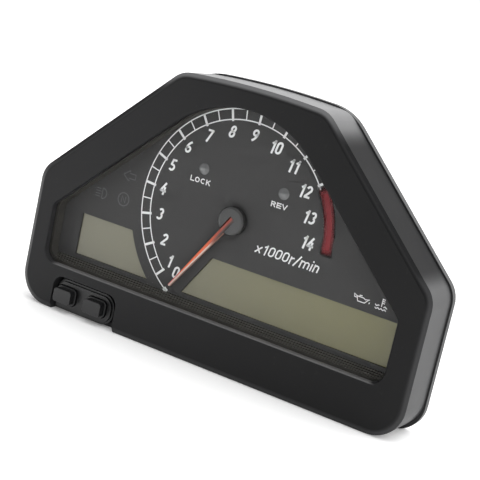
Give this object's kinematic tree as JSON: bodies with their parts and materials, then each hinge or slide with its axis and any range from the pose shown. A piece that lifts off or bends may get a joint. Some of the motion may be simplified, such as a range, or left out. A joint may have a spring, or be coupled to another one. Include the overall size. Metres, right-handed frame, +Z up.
{
  "type": "instrument cluster",
  "caption": "Six-sided motorcycle instrument cluster with a large tachometer, two liquid-crystal panels, two push keys and rear mounting studs.",
  "frame": {"origin": "middle of the flat underside, at the middle of the depth from the keys to the studs' ends", "axes": "+X to the right as the rider sees it, +Y from the face to the back, +Z up"},
  "size_m": [0.2418, 0.076, 0.1509],
  "materials": {
    "bezel_plastic": "fine moulded grain, satin black",
    "clear_lens": "clear polished acrylic",
    "foam_gasket": "matt foam rubber",
    "shroud_plastic": "matt black",
    "dial_print": "matt dark grey print",
    "tell_tale_lens": "smoked clear plastic",
    "display_glass": "grey-green liquid-crystal cell",
    "contact_rubber": "striped conductive rubber",
    "clear_guide": "clear acrylic",
    "white_plastic": "white reflective plastic",
    "board_laminate": "green solder resist",
    "chip_plastic": "matt black epoxy",
    "tinned_metal": "tinned metal",
    "capacitor_can": "sleeved aluminium",
    "lamp": "clear resin",
    "switch_plastic": "black",
    "key_rubber": "matt black silicone",
    "needle_orange": "translucent orange-red",
    "cap_plastic": "satin black",
    "steel": "zinc plated",
    "magnet": "dark ferrite",
    "bobbin_plastic": "natural nylon",
    "copper_wire": "enamelled copper",
    "housing_plastic": "moulded black plastic",
    "seal_rubber": "black rubber",
    "socket_plastic": "dark grey nylon",
    "membrane": "white breather membrane"
  },
  "bodies": {
    "housing": {"front_bezel": "bezel_plastic", "lens_gasket": "foam_gasket", "lens": "clear_lens", "inner_shroud": "shroud_plastic", "dial_plate": "dial_print", "left_tell_tale": "tell_tale_lens", "right_tell_tale": "tell_tale_lens", "left_display": "display_glass", "right_display": "display_glass", "left_contact_strip": "contact_rubber", "right_contact_strip": "contact_rubber", "left_light_guide": "clear_guide", "right_light_guide": "clear_guide", "dial_diffuser": "clear_guide", "reflector_box": "white_plastic", "circuit_board": "board_laminate", "processor": "chip_plastic", "processor_legs": "tinned_metal", "display_driver": "chip_plastic", "display_driver_legs": "tinned_metal", "capacitors": "capacitor_can", "voltage_regulator": "chip_plastic", "resistors": "chip_plastic", "dial_lamps": "lamp", "panel_lamps": "lamp", "tell_tale_lamps": "lamp", "left_switch": "switch_plastic", "right_switch": "switch_plastic", "key_pad": "key_rubber", "movement_base": "bobbin_plastic", "front_bobbin": "bobbin_plastic", "rear_bobbin": "bobbin_plastic", "inner_coil": "copper_wire", "outer_coil": "copper_wire", "movement_can": "steel", "movement_terminals": "tinned_metal", "rear_housing": "housing_plastic", "housing_seal": "seal_rubber", "case_screws": "steel", "board_screws": "steel", "mounting_studs": "steel", "stud_grommets": "seal_rubber", "connector_socket": "socket_plastic", "connector_pins": "tinned_metal", "connector_seal": "seal_rubber", "vent_cap": "housing_plastic", "vent_membrane": "membrane"},
    "needle": {"needle_pointer": "needle_orange", "needle_cap": "cap_plastic", "needle_spindle": "steel", "movement_rotor": "magnet"},
    "left_key": {"left_key": "key_rubber", "left_plunger": "switch_plastic"},
    "right_key": {"right_key": "key_rubber", "right_plunger": "switch_plastic"}
  },
  "joints": [
    {"name": "needle_turn", "type": "hinge", "parent": "housing", "child": "needle", "pos_m": [0, -0.024, 0.07875], "axis": [0, 1, 0], "range_deg": [0, 235.6]},
    {"name": "left_key_press", "type": "slide", "parent": "housing", "child": "left_key", "axis": [0, 1, 0], "range_m": [0, 0.001], "stiffness_N_per_m": 1500},
    {"name": "right_key_press", "type": "slide", "parent": "housing", "child": "right_key", "axis": [0, 1, 0], "range_m": [0, 0.001], "stiffness_N_per_m": 1500}
  ]
}
